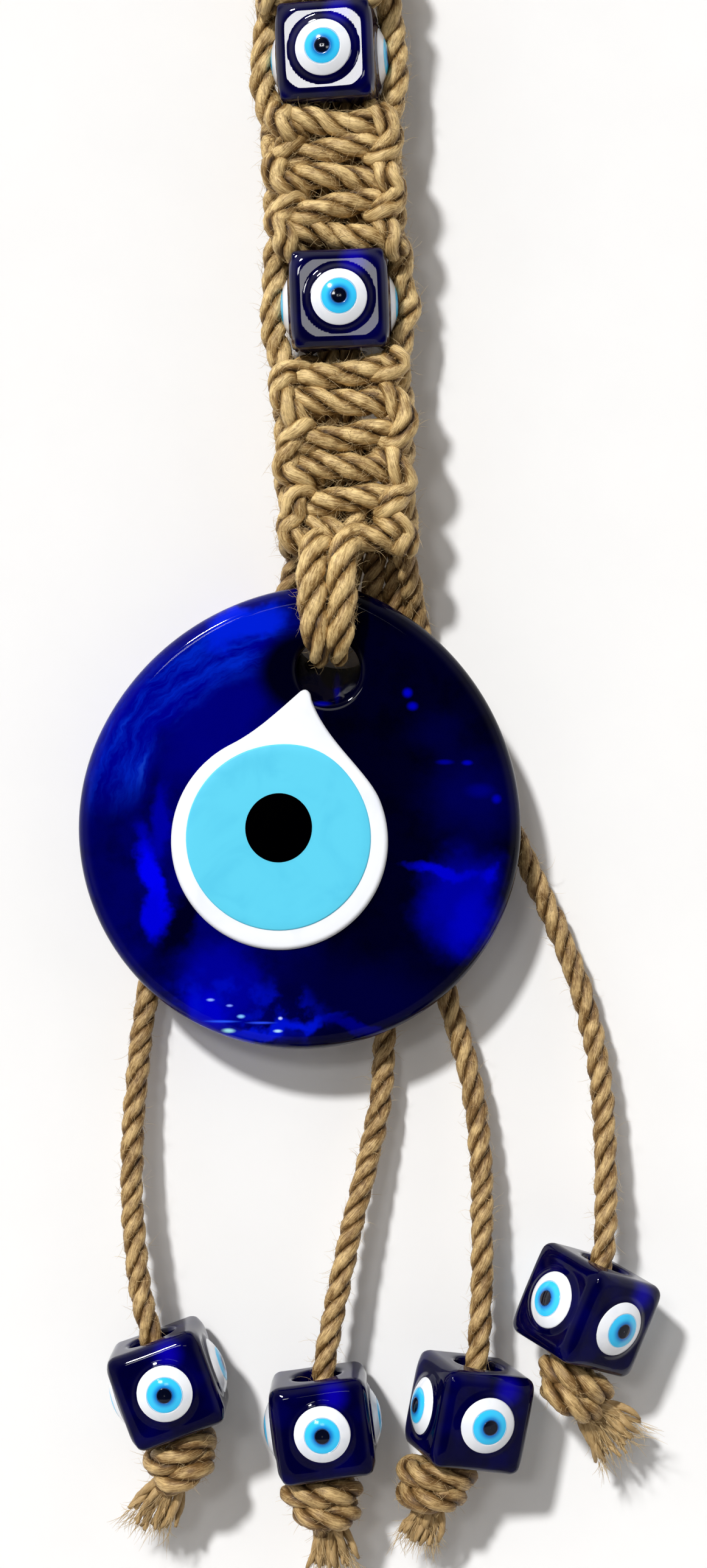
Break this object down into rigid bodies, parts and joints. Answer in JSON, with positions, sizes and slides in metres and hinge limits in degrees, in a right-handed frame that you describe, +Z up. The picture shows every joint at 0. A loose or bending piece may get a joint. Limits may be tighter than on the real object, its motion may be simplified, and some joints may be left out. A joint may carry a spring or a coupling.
{
  "type": "evil eye ornament",
  "caption": "Hanging wall ornament: a knotted jute strap with cube glass eye beads, a large glass eye disc in a cord sling and hanging cords that end in glass beads and knots.",
  "frame": {"origin": "inside top of the hanging loop, where the nail sits", "axes": "+Z up along the hanging strap, the front faces -Y, +X to the right seen from the front"},
  "size_m": [0.0891, 0.0203, 0.2983],
  "materials": {
    "jute": "natural twisted jute cord",
    "cobalt_glass": "polished handmade glass",
    "white_glass": "polished opaque glass",
    "sky_glass": "polished opaque glass",
    "black_glass": "polished opaque glass"
  },
  "bodies": {
    "root": {"hanging_loop": "jute", "core_cord_left": "jute", "core_cord_right": "jute", "square_knots_top": "jute", "square_knots_middle": "jute", "square_knots_lower": "jute", "side_cord_upper_left": "jute", "side_cord_upper_right": "jute", "side_cord_lower_left": "jute", "side_cord_lower_right": "jute", "strap_bead_upper": "cobalt_glass", "strap_bead_upper_whites": "white_glass", "strap_bead_upper_irises": "sky_glass", "strap_bead_upper_pupils": "black_glass", "strap_bead_lower": "cobalt_glass", "strap_bead_lower_whites": "white_glass", "strap_bead_lower_irises": "sky_glass", "strap_bead_lower_pupils": "black_glass", "tassel_cord_1_upper": "jute", "tassel_cord_2_upper": "jute", "tassel_cord_3_upper": "jute", "tassel_cord_4_upper": "jute"},
    "disc_sling": {"sling_cord_left": "jute", "sling_cord_right": "jute"},
    "disc": {"glass_disc": "cobalt_glass", "eye_white": "white_glass", "eye_iris": "sky_glass", "eye_pupil": "black_glass"},
    "tassel_1": {"tassel_cord_1_lower": "jute", "stopper_knot_1": "jute", "frayed_end_1": "jute"},
    "bead_1": {"tassel_bead_1": "cobalt_glass", "tassel_bead_1_whites": "white_glass", "tassel_bead_1_irises": "sky_glass", "tassel_bead_1_pupils": "black_glass"},
    "tassel_2": {"tassel_cord_2_lower": "jute", "stopper_knot_2": "jute", "frayed_end_2": "jute"},
    "bead_2": {"tassel_bead_2": "cobalt_glass", "tassel_bead_2_whites": "white_glass", "tassel_bead_2_irises": "sky_glass", "tassel_bead_2_pupils": "black_glass"},
    "tassel_3": {"tassel_cord_3_lower": "jute", "stopper_knot_3": "jute", "frayed_end_3": "jute"},
    "bead_3": {"tassel_bead_3": "cobalt_glass", "tassel_bead_3_whites": "white_glass", "tassel_bead_3_irises": "sky_glass", "tassel_bead_3_pupils": "black_glass"},
    "tassel_4": {"tassel_cord_4_lower": "jute", "stopper_knot_4": "jute", "frayed_end_4": "jute"},
    "bead_4": {"tassel_bead_4": "cobalt_glass", "tassel_bead_4_whites": "white_glass", "tassel_bead_4_irises": "sky_glass", "tassel_bead_4_pupils": "black_glass"}
  },
  "joints": [
    {"name": "sling_swing", "type": "hinge", "parent": "root", "child": "disc_sling", "pos_m": [-0.0012, 0, -0.1347], "axis": [-1, 0, 0], "range_deg": [0, 30]},
    {"name": "disc_sway", "type": "hinge", "parent": "disc_sling", "child": "disc", "pos_m": [-0.00392, -0.00025, -0.15183], "axis": [0, 1, 0], "range_deg": [-15, 15]},
    {"name": "tassel_1_swing", "type": "hinge", "parent": "root", "child": "tassel_1", "pos_m": [-0.0364, 0.0059, -0.20925], "axis": [-1, 0, 0], "range_deg": [0, 60]},
    {"name": "tassel_2_swing", "type": "hinge", "parent": "root", "child": "tassel_2", "pos_m": [0.00245, 0.00605, -0.2145], "axis": [-1, 0, 0], "range_deg": [0, 60]},
    {"name": "tassel_3_swing", "type": "hinge", "parent": "root", "child": "tassel_3", "pos_m": [0.0151, 0.0059, -0.21275], "axis": [-1, 0, 0], "range_deg": [0, 60]},
    {"name": "tassel_4_swing", "type": "hinge", "parent": "root", "child": "tassel_4", "pos_m": [0.0338, 0.0059, -0.2019], "axis": [-1, 0, 0], "range_deg": [0, 60]},
    {"name": "bead_1_spin", "type": "hinge", "parent": "tassel_1", "child": "bead_1", "pos_m": [-0.0338, 0, -0.2639], "axis": [-0.3057, 0, 0.9521], "continuous": true},
    {"name": "bead_2_spin", "type": "hinge", "parent": "tassel_2", "child": "bead_2", "pos_m": [-0.0095, 0, -0.2712], "axis": [-0.0924, 0, 0.9957], "continuous": true},
    {"name": "bead_3_spin", "type": "hinge", "parent": "tassel_3", "child": "bead_3", "pos_m": [0.0138, 0, -0.2703], "axis": [0.2283, 0, 0.9736], "continuous": true},
    {"name": "bead_4_spin", "type": "hinge", "parent": "tassel_4", "child": "bead_4", "pos_m": [0.033, -0.001, -0.2546], "axis": [0.4099, 0, 0.9121], "continuous": true}
  ]
}
